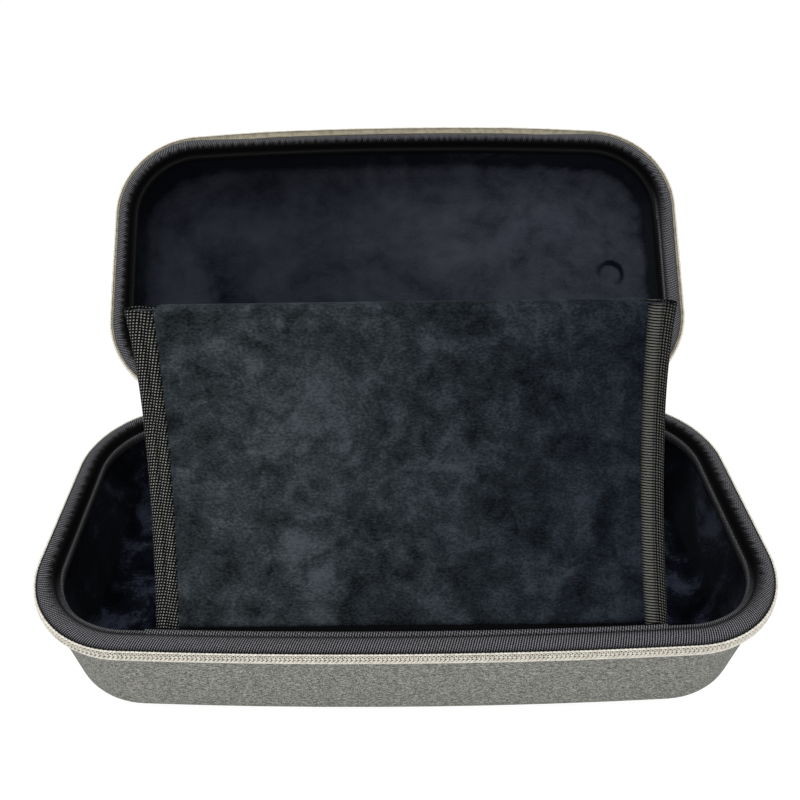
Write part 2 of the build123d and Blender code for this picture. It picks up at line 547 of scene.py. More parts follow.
def climb(tree: Tree, value: Socket, low: float, high: float, most: float = 1.0) -> Socket:
    """Climb from 0 to the most as a value goes from low to high."""
    links = {"Value": value, "From Min": low, "From Max": high, "To Max": most}
    return add_node(tree, "MapRange", links).outputs["Result"]


def part_of(tree: Tree, vector: Socket, axis: str) -> Socket:
    """One part of a vector, by the name of its axis."""
    return add_node(tree, "SeparateXYZ", {"Vector": vector}).outputs[axis]


def painted(tree: Tree, name: str) -> Socket:
    """Read the number that paint stored for each vertex."""
    return add_node(tree, "Attribute", attribute_name=name).outputs["Fac"]


class Finish:
    """A material of the case, for which each kind gives its pattern."""

    roughness: float
    specular: float
    bump: float = 0.8

    def constants(self) -> dict[str, object]:
        """Values of the shader's own sockets."""
        return {"Roughness": self.roughness, "Specular IOR Level": self.specular}

    def pattern(self, tree: Tree) -> Look:
        """Colour, height from 0 to 1 and what the height stands for in metres."""
        raise NotImplementedError

    def make(self, name: str) -> Material:
        """Make the material.

        Args:
            name: its name.

        Returns:
            The material.
        """
        material = bpy.data.materials.new(name)
        material.use_nodes = True
        tree = material.node_tree
        shader = tree.nodes["Principled BSDF"]
        for socket, value in self.constants().items():
            shader.inputs[socket].default_value = value
        colour, height, depth = self.pattern(tree)
        bump = add_node(tree, "Bump", {"Height": height, "Strength": self.bump, "Distance": depth})
        tree.links.new(colour, shader.inputs["Base Color"])
        tree.links.new(bump.outputs["Normal"], shader.inputs["Normal"])
        return material


@dataclass(frozen=True)
class HeatherPolyester(Finish):
    """Woven polyester of mixed grey yarns, bonded over the moulded foam.

    The yarns give short level streaks of lighter and darker grey on a matt face.
    """

    dark: str = "#42433f"
    middle: str = "#74746f"
    light: str = "#a3a39b"
    streak_length: float = 1.7 * MM
    streak_height: float = 0.5 * MM
    yarn: float = 0.55 * MM
    depth: float = 0.35 * MM
    tilt: float = 0.0
    roughness: float = 0.88
    specular: float = 0.1

    def pattern(self, tree: Tree) -> Look:
        """Level streaks on each face of the half, which is turned by the tilt, over single yarns.

        Args:
            tree: the material's node tree.

        Returns:
            The colour, the height from 0 to 1 and its depth in metres.
        """
        place = add_node(tree, "TexCoord").outputs
        turn = (math.radians(-self.tilt), 0.0, 0.0)
        flat = mapped(tree, place["Object"], Rotation=turn)
        facing = part_of(tree, mapped(tree, place["Normal"], Rotation=turn), "X")
        sideways = climb(tree, calc(tree, "ABSOLUTE", facing), 0.6, 0.8)
        long, thin = 1 / self.streak_length, 1 / self.streak_height
        streaks = [
            grain(tree, mapped(tree, flat, Scale=scale), 1.0, Detail=3.0, Roughness=0.65)
            for scale in ((long, thin, thin), (thin, long, thin))
        ]
        yarns = grain(tree, flat, self.yarn, Detail=2.0, Roughness=0.7)
        tone = mix(tree, 0.5, mix(tree, sideways, *streaks), yarns)
        return ramp(tree, tone, (0.4, self.dark), (0.5, self.middle), (0.6, self.light)), tone, self.depth


@dataclass(frozen=True)
class Velour(Finish):
    """Short plush pile, crushed in patches.

    Brushed pile shows as soft clouds of darker and lighter cloth with a bloom at grazing angles.
    """

    dark: str
    middle: str
    light: str
    left_tint: str = "#ffffff"
    right_tint: str = "#ffffff"
    tint_from: float = -60 * MM
    tint_to: float = 90 * MM
    crush: float = 30 * MM
    dapple: float = 8 * MM
    pile: float = 0.8 * MM
    combed: tuple[float, float, float] = (0.65, 1.0, 1.0)
    depth: float = 0.5 * MM
    dapple_share: float = 0.3
    pile_share: float = 0.2
    spread: float = 0.11
    sheen: float = 0.08
    roughness: float = 0.95
    specular: float = 0.02

    def constants(self) -> dict[str, object]:
        """Values of the shader's own sockets, with the bloom of the pile."""
        bloom = {"Sheen Weight": self.sheen, "Sheen Roughness": 0.4, "Sheen Tint": linear("#9aa0ac")}
        return {**super().constants(), **bloom}

    def pattern(self, tree: Tree) -> Look:
        """Clouds of crushed pile, darker where painted shade is stored on its vertices, tinted from left to
        right.

        Args:
            tree: the material's node tree.

        Returns:
            The colour, the height from 0 to 1 and its depth in metres.
        """
        place = add_node(tree, "TexCoord").outputs["Object"]
        crush = grain(tree, place, self.crush, Detail=4.0, Roughness=0.55, Distortion=1.0)
        dapple = grain(tree, place, self.dapple, Detail=2.0, Distortion=0.5)
        pile = grain(tree, mapped(tree, place, Scale=self.combed), self.pile, Detail=2.0)
        both = mix(tree, self.pile_share, mix(tree, self.dapple_share, crush, dapple), pile)
        # Painted shade stored on the vertices darkens the pile.
        level = calc(tree, "SUBTRACT", both, painted(tree, "painted_shade"))
        stops = ((0.5 - self.spread, self.dark), (0.5, self.middle), (0.5 + self.spread, self.light))
        across = climb(tree, part_of(tree, place, "X"), self.tint_from, self.tint_to)
        tints = ramp(tree, across, (0.0, self.left_tint), (1.0, self.right_tint))
        return tint(tree, ramp(tree, level, *stops), tints), pile, self.depth


@dataclass(frozen=True)
class WovenTape(Finish):
    """Polyester tape: heavy ribs crossed by finer threads.

    Its ribs show as rows of light and dark, with painted light where the tape stands up, painted shade where
    it turns down or sinks, and some real rubbing on its edges.
    """

    dark: str
    middle: str
    light: str
    pitch: float = 1.2 * MM
    thread: float = 0.7 * MM
    slant: float = 0.0
    dots: float = 0.25
    depth: float = 0.2 * MM
    split: float = -1.0
    split_fade: float = 0.4 * MM
    fuzz: float = 1.1 * MM
    fuzz_share: float = 0.3
    shade_tint: str = "#18181a"
    roughness: float = 0.85
    specular: float = 0.06

    def pattern(self, tree: Tree) -> Look:
        """Ribs by the strip's UV map in metres, darker where painted shade is stored on its vertices and
        lighter where painted light and rubbing are.

        Args:
            tree: the material's node tree.

        Returns:
            The colour, the height from 0 to 1 and its depth in metres.
        """
        uv = add_node(tree, "UVMap").outputs["UV"]
        turned = mapped(tree, uv, Rotation=(0.0, 0.0, math.radians(self.slant)))
        waves = []
        for size, way in ((self.pitch, "X"), (self.thread, "Y")):
            links = {"Vector": turned, "Scale": math.tau / 20 / size, "Distortion": 0.9, "Detail": 1.0}
            wave = add_node(tree, "TexWave", links, wave_type="BANDS", bands_direction=way)
            waves.append(wave.outputs["Fac"])
        dotted = climb(tree, part_of(tree, uv, "Y"), self.split, self.split + self.split_fade, self.dots)
        woven = mix(tree, dotted, waves[0], calc(tree, "MULTIPLY", *waves))
        tone = mix(tree, self.fuzz_share, woven, grain(tree, uv, self.fuzz, Detail=2.0))
        colour = ramp(tree, tone, (0.26, self.dark), (0.47, self.middle), (0.7, self.light))
        # Painted light and shade, with some real rubbing, stored on the vertices, multiply the ribs from the
        # shade tint up to white.
        wear_and_light_tint = ramp(tree, painted(tree, "wear_and_light"), (0.0, self.shade_tint), (1.0, "#ffffff"))
        return tint(tree, colour, wear_and_light_tint), woven, self.depth


@dataclass(frozen=True)
class DrawnNylon(Finish):
    """Drawn nylon or enamel of one colour: a soft gloss, with a little grime in its tone."""

    clean: str
    grimy: str
    roughness: float = 0.45
    patch: float = 2.5 * MM
    depth: float = 0.05 * MM
    specular: float = 0.35

    def pattern(self, tree: Tree) -> Look:
        """Soft patches of grime.

        Args:
            tree: the material's node tree.

        Returns:
            The colour, the height from 0 to 1 and its depth in metres.
        """
        place = add_node(tree, "TexCoord").outputs["Object"]
        grime = grain(tree, place, self.patch, Detail=3.0, Roughness=0.6)
        return ramp(tree, grime, (0.35, self.grimy), (0.6, self.clean)), grime, self.depth


class Finishes:
    """All the finishes of the case."""

    def __init__(self, lid_angle: float) -> None:
        """Make each material once.

        Args:
            lid_angle: how far the lid is open, in degrees.
        """
        # Mottled grey cloth, with its streaks level on either half.
        self.base_shell = HeatherPolyester().make("heather_polyester_base")
        self.lid_shell = HeatherPolyester(tilt=180.0 - lid_angle).make("heather_polyester_lid")
        # Near-black plush with bluish streaks in the base. The lid has the same plush painted paler as
        # painted light, and painted shade darkens the lid's left side.
        base_plush = Velour("#030408", "#0d0f16", "#2e323f", crush=34 * MM, spread=0.1)
        self.base_lining = base_plush.make("navy_velour_base")
        lit_lid_plush = Velour("#0d1017", "#2c2f37", "#3a3d45", "#b4b6ba", crush=42 * MM, spread=0.2)
        self.lid_lining = lit_lid_plush.make("navy_velour_lid")
        # Cool charcoal clouds, bluer towards the right.
        flap_shares = {"dapple_share": 0.4, "pile_share": 0.3, "spread": 0.12}
        flap_plush = Velour("#121517", "#282d30", "#40464a", right_tint="#a4a8ba", **flap_shares)
        self.flap = flap_plush.make("charcoal_velour")
        # Slanted grey ribs round the rims.
        rim_tape = WovenTape("#101012", "#3c3c3f", "#7a7a7e", 0.95 * MM, 0.9 * MM, slant=18.0, dots=0.4)
        self.binding = rim_tape.make("grosgrain_tape")
        # Pale dots on black at the left, level ribs at the right.
        left = WovenTape("#060606", "#262625", "#93938e", 1.12 * MM, 1.15 * MM, slant=14.0, dots=0.85)
        right = WovenTape("#0a0a0a", "#2b2b2a", "#676762", 1.12 * MM, 1.0 * MM, dots=0.85, split=96 * MM)
        self.webbing = {Side.LEFT: left.make("dotted_webbing"), Side.RIGHT: right.make("ribbed_webbing")}
        # Cream coil and glossier metal, the cream tape behind the coil darkened as painted shade, and a dark
        # strip of painted shadow in the gap where the zip is sewn in.
        self.coil = DrawnNylon("#d4d0c5", "#beb9ad").make("nylon_coil")
        self.shaded_zip_tape = DrawnNylon("#8d8775", "#726c5b", roughness=0.8).make("zip_tape_painted_in_shade")
        self.seam = DrawnNylon("#1d1c1b", "#121211", roughness=0.9).make("painted_shadow_strip")
        self.enamel = DrawnNylon("#d3cebf", "#c2bcab", roughness=0.3).make("enamelled_zinc")


# ---- the case ----


@dataclass
class Shells:
    """The moulded halves and the metal, which keep their solids."""

    finishes: Finishes

    def build(self, nodes: dict[str, Piece]) -> list[Piece]:
        """Dress the solids that stay.

        Args:
            nodes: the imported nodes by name.

        Returns:
            The dressed nodes.
        """
        finishes = {"base_shell": self.finishes.base_shell, "lid_shell": self.finishes.lid_shell}
        for name in ("zip_slider_left", "zip_slider_right", "zip_pull_left", "zip_pull_right"):
            finishes[name] = self.finishes.enamel
        return [dress(nodes[name], finish) for name, finish in finishes.items()]


@dataclass
class PlushLining:
    """The velour lining of a half, moulded into it."""

    rim: Rim
    half: Half
    top: float = 5.4
    columns: int = 640
    wall: float = 1.3
    waves: Waves = ((0.35, 30 * MM, 3.0), (0.175, 11 * MM, 7.0))
    still_rows: float = 2.0
    still_fade: float = 4.0
    mark_x: float = 124.0
    mark_along: float = 77.5
    mark_radius: float = 6.8
    mark_depth: float = 1.9
    mark_slope: float = 1.6
    mark_edge: float = 1.1
    mark_shadow: float = 0.16
    mark_side_shadow: float = 0.14
    # How much painted shade darkens the lining's walls in each half.
    wall_shade: dict[Half, float] = field(default_factory=lambda: {Half.BASE: 0.02, Half.LID: 0.26})
    wall_reach: float = 30.0
    shade_from: float = 4.0
    shade_to: float = 3.5
    shade_fade: float = 10.0
    ring_step: float = 0.8
    ring_end: float = 37.0

    def rings(self) -> Array:
        """Work out the lining's section, from its top edge to the middle of its floor.

        Returns:
            Rows of inset, depth and share of the way to the middle.
        """
        sizes = self.rim.sizes
        floor = sizes.height(self.half) - sizes.lining_inset
        slope = math.tan(math.radians(sizes.draft_angle))
        radius = sizes.floor_radius
        wall_end = floor - radius
        rows = [(sizes.lining_inset, d) for d in np.linspace(self.top, sizes.upright_band, 4)]
        rows += [
            (sizes.lining_inset + (d - sizes.upright_band) * slope, d)
            for d in np.linspace(sizes.upright_band, wall_end, 7)[1:]
        ]
        start = rows[-1][0]
        for angle in np.linspace(0, math.pi / 2, 9)[1:]:
            rows.append((start + radius * (1 - math.cos(angle)), wall_end + radius * math.sin(angle)))
        first = rows[-1][0] + self.ring_step
        rows += [(inset, floor) for inset in np.arange(first, self.ring_end, self.ring_step)]
        outer = [(inset, depth, 0.0) for inset, depth in rows]
        inner = [(rows[-1][0], floor, share) for share in np.linspace(0, 1, 20)[1:]]
        return np.array(outer + inner)

    def build(self, finish: Material) -> Piece:
        """Make the lining and hang it in its half.

        Args:
            finish: its material.

        Returns:
            The lining.
        """
        name = f"{self.half.value}_plush_lining"
        rings = self.rings()
        count = len(rings) - 1
        lining, round_rim, inwards = add_grid(name, self.columns, count)
        row = (1 - inwards) * count
        inset, depth, pull = along_rows(rings, row)
        place, out = self.rim.follow(round_rim * self.rim.length)
        spot = place - inset[:, None] * out
        middle = np.array((0.0, self.rim.sizes.hinge_offset + self.rim.sizes.rim_depth / 2))
        spot = spot * (1 - pull)[:, None] + middle * pull[:, None]
        floor = rings[-1, 1]
        # Painted shade: the walls are darkened from below the rim down to the floor, strongly in the lid and
        # faintly in the base. The press mark's edge gets a painted shadow that is deeper on one side.
        shaded = window(depth, self.shade_from, floor - self.shade_to, self.shade_fade)
        painted_shade = self.wall_shade[self.half] * shaded * (inset < self.wall_reach)
        if self.half is Half.LID:
            aside, above = spot[:, 0] + self.mark_x, spot[:, 1] - self.mark_along
            away = np.hypot(aside, above)
            depth = depth + self.mark_depth * window(away, -1.0, self.mark_radius, self.mark_slope)
            edge = np.exp(-(((away - self.mark_radius) / self.mark_edge) ** 2))
            shadow = self.mark_shadow + self.mark_side_shadow * (above - aside) / self.mark_radius
            painted_shade = painted_shade + edge * np.clip(shadow, -0.05, 0.35)
        flat = self.rim.seat(self.half, spot[:, 0], spot[:, 1], depth)
        soft = add_ripples(flat, self.waves) * np.clip((row - self.still_rows) / self.still_fade, 0, 1)
        set_points(lining, self.rim.seat(self.half, spot[:, 0], spot[:, 1], depth + soft))
        paint(lining, "painted_shade", painted_shade)
        close_up(lining)
        apply_modifier(lining, "SOLIDIFY", thickness=self.wall * MM, offset=-1.0)
        shade(lining, 60.0)
        dress(lining, finish)
        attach(lining, self.half.value)
        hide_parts(f"{self.half.value}_lining")
        sizes = self.rim.sizes
        cut = [(side + 2 * sizes.height(self.half)) * MM for side in (sizes.rim_depth, sizes.rim_width)]
        return lining


@dataclass
class RimTrim:
    """Binding tape and zip half round a rim."""

    rim: Rim
    half: Half
    finishes: Finishes
    step: float = 0.8
    pitch: float = 1.68
    rows: int = 30
    lid_flare: float = 14.0
    lid_front_tuck: float = 0.9
    base_zip_drop: float = 1.2
    # Outset, depth, and light and rubbing across the tape, from its inner edge to its outer one. The third
    # number is low where shade is painted, in the stitched groove and on the faces that turn down and away.
    # It is high on the crest and the top of the lip, which are painted lit and partly rubbed.
    flat_section: Section = field(default_factory=lambda: [
        (-7.0, 8.6, 0.3), (-7.25, 6.0, 0.4), (-7.3, 3.6, 0.6), (-7.15, 2.3, 0.9), (-6.7, 1.6, 1.0),
        (-6.1, 1.4, 0.9), (-5.55, 1.65, 0.5), (-5.15, 2.2, 0.05), (-4.75, 1.75, 0.3), (-4.1, 1.1, 0.8),
        (-3.1, 0.75, 1.0), (-1.9, 0.6, 1.0), (-0.7, 0.65, 1.0), (0.5, 0.85, 0.95), (1.4, 1.15, 0.8),
        (2.0, 1.6, 0.4), (2.3, 2.3, 0.1), (2.3, 3.6, 0.1),
    ])
    sunk_section: Section = field(default_factory=lambda: [
        (-7.0, 9.0, 0.2), (-7.6, 7.0, 0.35), (-7.85, 5.2, 0.6), (-7.65, 4.1, 1.0), (-7.2, 3.7, 1.0),
        (-6.7, 4.0, 0.4), (-6.3, 4.6, 0.1), (-5.8, 4.8, 0.05), (-5.3, 4.4, 0.0), (-5.0, 3.4, 0.0),
        (-4.75, 2.2, 0.0), (-4.2, 1.35, 0.0), (-3.0, 1.0, 0.1), (-1.4, 0.7, 0.8), (0.2, 0.65, 1.0),
        (1.4, 0.9, 1.0), (2.1, 1.5, 0.6), (2.3, 3.6, 0.1),
    ])
    flat_run: dict[Half, tuple[float, float]] = field(
        default_factory=lambda: {Half.BASE: (262.0, 558.0), Half.LID: (590.0, 700.0)}
    )
    flat_fade: float = 50.0
    front_run: tuple[float, float] = (318.0, 502.0)
    front_fade: float = 60.0
    lip_end: float = -6.4
    foot: tuple[float, float] = (1.4, 6.2)
    wall: float = 0.6
    pucker: float = 0.17
    pucker_zone: tuple[float, float] = (-4.4, -1.6)
    ragged: float = 0.32
    ragged_zone: tuple[float, float] = (-3.6, -1.0)
    zone_fade: float = 1.0
    stitch: float = 2.9
    slow_stitch: float = 4.7
    slow_share: float = 0.55
    drift: float = 2.6
    drift_run: float = 7.0
    plain_end: float = 20.0
    lip_light_and_wear: dict[Half, float] = field(default_factory=lambda: {Half.BASE: 0.9, Half.LID: 0.1})

    def build(self) -> list[Piece]:
        """Make the trim of one half.

        Returns:
            The trim's pieces.
        """
        pieces = [self.binding(), self.zip_half()]
        for piece in pieces:
            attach(piece, self.half.value)
        return pieces

    def sunk_share(self, run: Array) -> Array:
        """How far the tape is pulled down behind its crest, along the rim."""
        return 1 - window(run, *self.flat_run[self.half], self.flat_fade)

    def lid_front(self, run: Array) -> Array:
        """One along the lid's front edge, where the zip leans out and shows, and nothing on the base."""
        return window(run, *self.front_run, self.front_fade) * (self.half is Half.LID)

    def scallop(self, run: Array) -> Array:
        """Puckers that the stitches draw in the tape along the rim, from -1 to 1.

        Args:
            run: distances along the rim.

        Returns:
            Heights from -1 to 1.
        """
        drift = self.drift * np.sin(run / self.drift_run)
        quick, slow = np.sin(math.tau * run / self.stitch), np.sin(math.tau * run / self.slow_stitch + drift)
        ends = window(run, self.plain_end, self.rim.length - self.plain_end, self.plain_end)
        return ((1 - self.slow_share) * quick + self.slow_share * slow) * ends

    def binding(self) -> Piece:
        """The tape folded over the rim, with its crest, stitched groove and inner edge.

        Returns:
            The tape.
        """
        flat = rounded(self.flat_section, self.rows + 1)
        sunk = rounded(self.sunk_section, self.rows + 1)

        def lie(order: Array, run: Array) -> list[Array]:
            """Read the tape between its two sections.

            Args:
                order: row places.
                run: distances along the rim.

            Returns:
                Outset, depth and wear.
            """
            share = self.sunk_share(run)
            both = zip(along_rows(flat, order), along_rows(sunk, order))
            return [high * (1 - share) + low * share for high, low in both]

        def profile(order: Array, run: Array) -> tuple[Array, Array]:
            """Add the tuck and the puckers of the stitching.

            Args:
                order: row places.
                run: distances along the rim.

            Returns:
                Outset and depth.
            """
            outset, depth, _ = lie(order, run)
            tuck = self.lid_front_tuck * self.lid_front(run)
            outset = np.where(outset > 0, outset * (1 - tuck), outset)
            drawn = self.pucker * (1 - self.scallop(run)) * window(outset, *self.pucker_zone, self.zone_fade)
            return outset, depth - drawn * self.sunk_share(run)

        name = f"{self.half.value}_rim_tape"
        length = self.rim.length
        tape, order, run = self.rim.strip(name, self.half, self.rows, profile, 0.0, length, self.step)
        outset, _, wear_and_light = lie(order, run)
        # Painted shade on the inner lip, deep in the lid and slight in the base, and a ragged edge to the
        # painted shade on the crest along the stitches.
        wear_and_light = np.where(outset < self.lip_end, wear_and_light * self.lip_light_and_wear[self.half], wear_and_light)
        ragged_shade = self.ragged * self.scallop(run) * window(outset, *self.ragged_zone, self.zone_fade)
        paint(tape, "wear_and_light", np.clip(wear_and_light - ragged_shade * self.sunk_share(run), 0, 1))
        close_up(tape)
        apply_modifier(tape, "SOLIDIFY", thickness=self.wall * MM, offset=-1.0)
        shade(tape)
        dress(tape, self.finishes.binding)
        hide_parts(f"{self.half.value}_binding")
        return tape

    def flare(self, run: Array, outset: Array, depth: Array) -> tuple[Array, Array]:
        """Lean the zip out from its sewn edge along the lid's front, or let it hang a little on the base.

        Args:
            run: distances along the rim.
            outset: distances out from the shell's face.
            depth: depths below the parting plane.

        Returns:
            The new outsets and depths.
        """
        foot_out, foot_depth = self.foot
        drop = self.base_zip_drop if self.half is Half.BASE else 0.0
        turn = np.radians(self.lid_flare * self.lid_front(run))
        out, rise = outset - foot_out, foot_depth - depth - drop
        return (
            foot_out + out * np.cos(turn) + rise * np.sin(turn),
            foot_depth - rise * np.cos(turn) + out * np.sin(turn),
        )

    def strand(
        self, size: tuple[float, float, float], at: tuple[float, float, float], lean: float, count: int
    ) -> Piece:
        """One strand of a turn, repeated along a straight zip.

        Args:
            size: half lengths along, out and down in millimetres.
            at: place along, out and down in millimetres.
            lean: turn in the zip's face in degrees.
            count: how many turns.

        Returns:
            The row of strands, laid straight along x.
        """
        bpy.ops.object.select_all(action="DESELECT")
        bpy.ops.mesh.primitive_uv_sphere_add(segments=8, ring_count=5, radius=1.0)
        strand = name_piece("strand")
        turn = Matrix.Rotation(math.radians(lean), 4, "Y")
        lie = Matrix.Rotation(math.radians(90), 4, "Y")
        strand.data.transform(Matrix.Translation(at) @ turn @ Matrix.Diagonal((*size, 1.0)) @ lie)
        spacing = {"use_constant_offset": True, "constant_offset_displace": (self.pitch, 0.0, 0.0)}
        apply_modifier(strand, "ARRAY", count=count, use_relative_offset=False, **spacing)
        return strand

    def zip_half(self) -> Piece:
        """The zip's coil: a scalloped top row, crossed legs below it and a row of slanted stitches.

        Returns:
            The zip half.
        """
        sizes = self.rim.sizes
        first = sizes.base_zip_end if self.half is Half.BASE else sizes.lid_zip_end
        last = self.rim.length - first
        pitch = self.pitch
        count = int((last - first) / pitch)
        rows = [
            self.strand((0.6 * pitch, 0.5, 0.26), (0.0, 3.1, 0.6), 0.0, count),
            self.strand((0.66, 0.34, 0.24), (-0.26 * pitch, 3.4, 1.5), -56.0, count),
            self.strand((0.66, 0.34, 0.24), (0.26 * pitch, 3.4, 1.5), 56.0, count),
            self.strand((0.52 * pitch, 0.4, 0.4), (0.0, 3.45, 2.45), 4.0, count),
            self.strand((1.1, 0.42, 0.4), (0.1, 3.5, 3.6), -36.0, count),
            self.strand((0.56 * pitch, 0.4, 0.46), (0.5 * pitch, 3.4, 4.65), -12.0, count),
        ]
        name = f"{self.half.value}_zip"
        coil = join(rows, name)
        points = get_points(coil)
        run = first + 0.5 * pitch + points[:, 0]
        set_points(coil, self.rim.lay(self.half, run, *self.flare(run, points[:, 1], points[:, 2])))
        materials = (self.finishes.coil, self.finishes.shaded_zip_tape, self.finishes.seam)
        dress(coil, *materials)
        parts = [coil]
        # The tape behind the coil is the tape painted in shade. The seam strip is painted shadow: dark on
        # the base, and the shaded tape on the lid.
        for part, section, slot in (
            ("behind", [(3.0, 0.7), (3.05, 2.0), (3.05, 5.2)], 1),
            ("hem", [(3.05, 4.6), (3.5, 5.0), (3.35, 5.9), (2.6, 6.4), (1.2, 6.5)], 0),
            ("seam", [(0.1, 1.9), (1.4, 1.6), (2.3, 1.2), (3.0, 1.0)], 2 if self.half is Half.BASE else 1),
        ):
            line = rounded(section, 9, 1)

            def profile(order: Array, run: Array) -> tuple[Array, Array]:
                """Outset and depth of this part of the tape."""
                return self.flare(run, *along_rows(line, order))

            band = self.rim.strip(f"{name}_{part}", self.half, 8, profile, first, last, self.step)[0]
            dress(band, *materials)
            for face in band.data.polygons:
                face.material_index = slot
            parts.append(band)
        coil = join(parts, name)
        shade(coil, 70.0)
        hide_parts(f"{self.half.value}_zip_coil", f"{self.half.value}_zip_tape")
        return coil


@dataclass
class DividerFlap:
    """The padded flap that stands at the front of the base, bowed and a little askew."""

    finishes: Finishes
    lean: float = 29.0
    bend: float = 26.5
    hinge_y: float = -62.163
    hinge_z: float = 51.0
    width: float = 202.0
    length: float = 127.663
    thickness: float = 6.2
    hem: float = 0.4
    webbing_width: float = 9.5
    webbing_gap: float = 1.4
    rib_pitch: float = 1.12
    rib_height: float = 0.11
    top_spread: float = 1.7
    slide: float = 0.73
    skew: float = -3.44
    swell: float = 0.7
    pad_columns: int = 140
    pad_rows: int = 160
    pressure: float = 4.0
    frames: int = 20
    fill_share: float = 0.7
    waves: Waves = ((0.3, 22 * MM, 8.0), (0.1, 7 * MM, 2.0))
    roll_height: float = 0.55
    roll_below: float = 2.0
    roll_width: float = 1.6
    still_top: float = 6.0
    held_fade: float = 8.0
    edge_share: float = 0.78
    edge_fade: float = 5.0
    corner_width: float = 1.8
    corner_run: float = 12.0
    corner_drop: float = 1.6
    # Depth, place below the top, wander, its wavelength and seed, and width of each crease.
    creases: tuple[tuple[float, ...], ...] = (
        (0.5, 4.6, 1.2, 60 * MM, 5.0, 0.7), (0.3, 8.2, 2.0, 45 * MM, 9.0, 0.8)
    )
    webbing_columns: int = 660
    webbing_wall: float = 0.5
    splay_run: float = 45.0
    rib_droop: float = 0.07
    rib_slope: float = 0.12
    hem_fold: float = 0.7
    stitch_line: float = 4.5

    def seat(self, across: Array, up: Array, out: Array) -> Array:
        """Bring places of the flap's own face into the case's frame.

        Args:
            across: places along the hinge line.
            up: places from the hinge line to the top edge, along the bowed face.
            out: distances in front of the front face.

        Returns:
            The places in metres.
        """
        radius, half = self.length / math.radians(self.bend), math.radians(self.bend) / 2
        turn, reach = up / radius - half, radius - out
        rise = radius * math.sin(half) + reach * np.sin(turn)
        ahead = radius * math.cos(half) - reach * np.cos(turn)
        sine, cosine = math.sin(math.radians(self.lean)), math.cos(math.radians(self.lean))
        aside = across + self.slide + self.skew * (up / self.length - 0.5)
        back, height = rise * sine - ahead * cosine, rise * cosine + ahead * sine
        return np.c_[aside, self.hinge_y + back, self.hinge_z + height] * MM

    def build(self) -> list[Piece]:
        """Make the flap's pieces.

        Returns:
            The pad and its two webbings.
        """
        pieces = [self.pad()]
        pieces += [self.webbing(side) for side in Side]
        for piece in pieces:
            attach(piece, "flap")
        return pieces

    def pad_section(self, count: int) -> Array:
        """Work out the pad's closed section, from the front's foot round to the back's.

        Args:
            count: how many points to return.

        Returns:
            Rows of up and out.
        """
        top, depth = self.length, self.thickness
        fold = depth / 2
        corners: Section = [
            (self.hem, -depth / 2), (self.hem, -0.4), (self.hem + 0.8, 0.0),
            *[(up, 0.0) for up in np.linspace(self.hem + 4, top - fold - 2, 12)],
            (top - fold, 0.0), (top - 0.3, -0.6), (top, -fold),
            (top - 0.3, 0.6 - depth), (top - fold, -depth),
            *[(up, -depth) for up in np.linspace(top - fold - 2, self.hem + 4, 12)],
            (self.hem + 0.8, -depth), (self.hem, 0.4 - depth), (self.hem, -depth / 2),
        ]
        return rounded(corners, count, 2)

    def pad(self) -> Piece:
        """The plush-covered pad, full between its bound edges, in place of the flap's cover and board, which
        are hidden.

        Returns:
            The pad.
        """
        section = self.pad_section(self.pad_rows + 1)
        rows = len(section) - 1
        half = self.width / 2 - 0.9
        pad, across, order = add_grid("flap_pad", self.pad_columns, rows)
        across = (2 * across - 1) * half
        up, out = along_rows(section, (1 - order) * rows)
        bound = self.width / 2 - self.webbing_width
        inner = np.clip((bound + 1.0 - np.abs(across)) / self.edge_fade, 0, 1)
        full = np.sin(inner * math.pi / 2)
        middle = -self.thickness / 2
        out = middle + (out - middle) * (self.edge_share + (1 - self.edge_share) * full)
        corner = np.clip((np.abs(across) - bound) / self.corner_width + 1, 0, 1) ** 2
        near_top = np.clip((up - self.length) / self.corner_run + 1, 0, 1)
        up = up - self.corner_drop * corner * near_top
        spots = self.seat(across, up, out)
        below = self.length - up
        crease = np.zeros(len(spots))
        for depth, place, wander, wavelength, seed, width in self.creases:
            away = below - place - wander * ripple(spots, wavelength, seed)
            crease += depth * np.exp(-((away / width) ** 2))
        roll = self.roll_height * np.exp(-(((below - self.roll_below) / self.roll_width) ** 2))
        waves = add_ripples(spots, self.waves) * np.clip(below / self.still_top, 0, 1)
        face = np.sign(out - middle)
        out = out + face * full * (waves + roll - crease)
        set_points(pad, self.seat(across, up, out))
        foot_free = np.clip((up - self.hem) / self.held_fade, 0, 1)
        top_free = np.clip((below - self.still_top) / self.held_fade, 0, 1)
        paint(pad, "free", full * foot_free * top_free)
        close_up(pad, fill=True)
        self.fill(pad)
        apply_modifier(pad, "SUBSURF", levels=1, render_levels=1)
        shade(pad, 60.0)
        dress(pad, self.finishes.flap)
        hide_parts("flap_cover", "flap_board")
        return pad

    def fill(self, pad: Piece) -> None:
        """Swell the pad by a short cloth simulation under pressure, held at its bound edges and capped.

        Args:
            pad: the closed pad, with how free each vertex is.
        """
        before = get_points(pad)
        free = np.zeros(len(before), np.float32)
        pad.data.attributes["free"].data.foreach_get("value", free)
        held = pad.vertex_groups.new(name="held")
        for index, share in enumerate(free):
            held.add([index], 1.0 - float(share), "REPLACE")
        select_only(pad)
        cloth = pad.modifiers.new("cloth", "CLOTH")
        cloth.settings.vertex_group_mass = held.name
        cloth.settings.use_pressure = True
        cloth.settings.uniform_pressure_force = self.pressure
        cloth.settings.effector_weights.gravity = 0.0
        cloth.point_cache.frame_start = 1
        cloth.point_cache.frame_end = self.frames
        for step in range(1, self.frames + 1):
            bpy.context.scene.frame_set(step)
        bpy.ops.object.modifier_apply(modifier=cloth.name)
        bpy.context.scene.frame_set(1)
        moved = get_points(pad) - before
        size = np.linalg.norm(moved, axis=1, keepdims=True)
        most = self.swell * MM * free[:, None]
        set_points(pad, before + moved * np.minimum(1.0, most / np.maximum(size, 1e-9)))
        LOG.info("flap_pad: simulated, moved by up to %.2f mm before the cap", size.max() / MM)

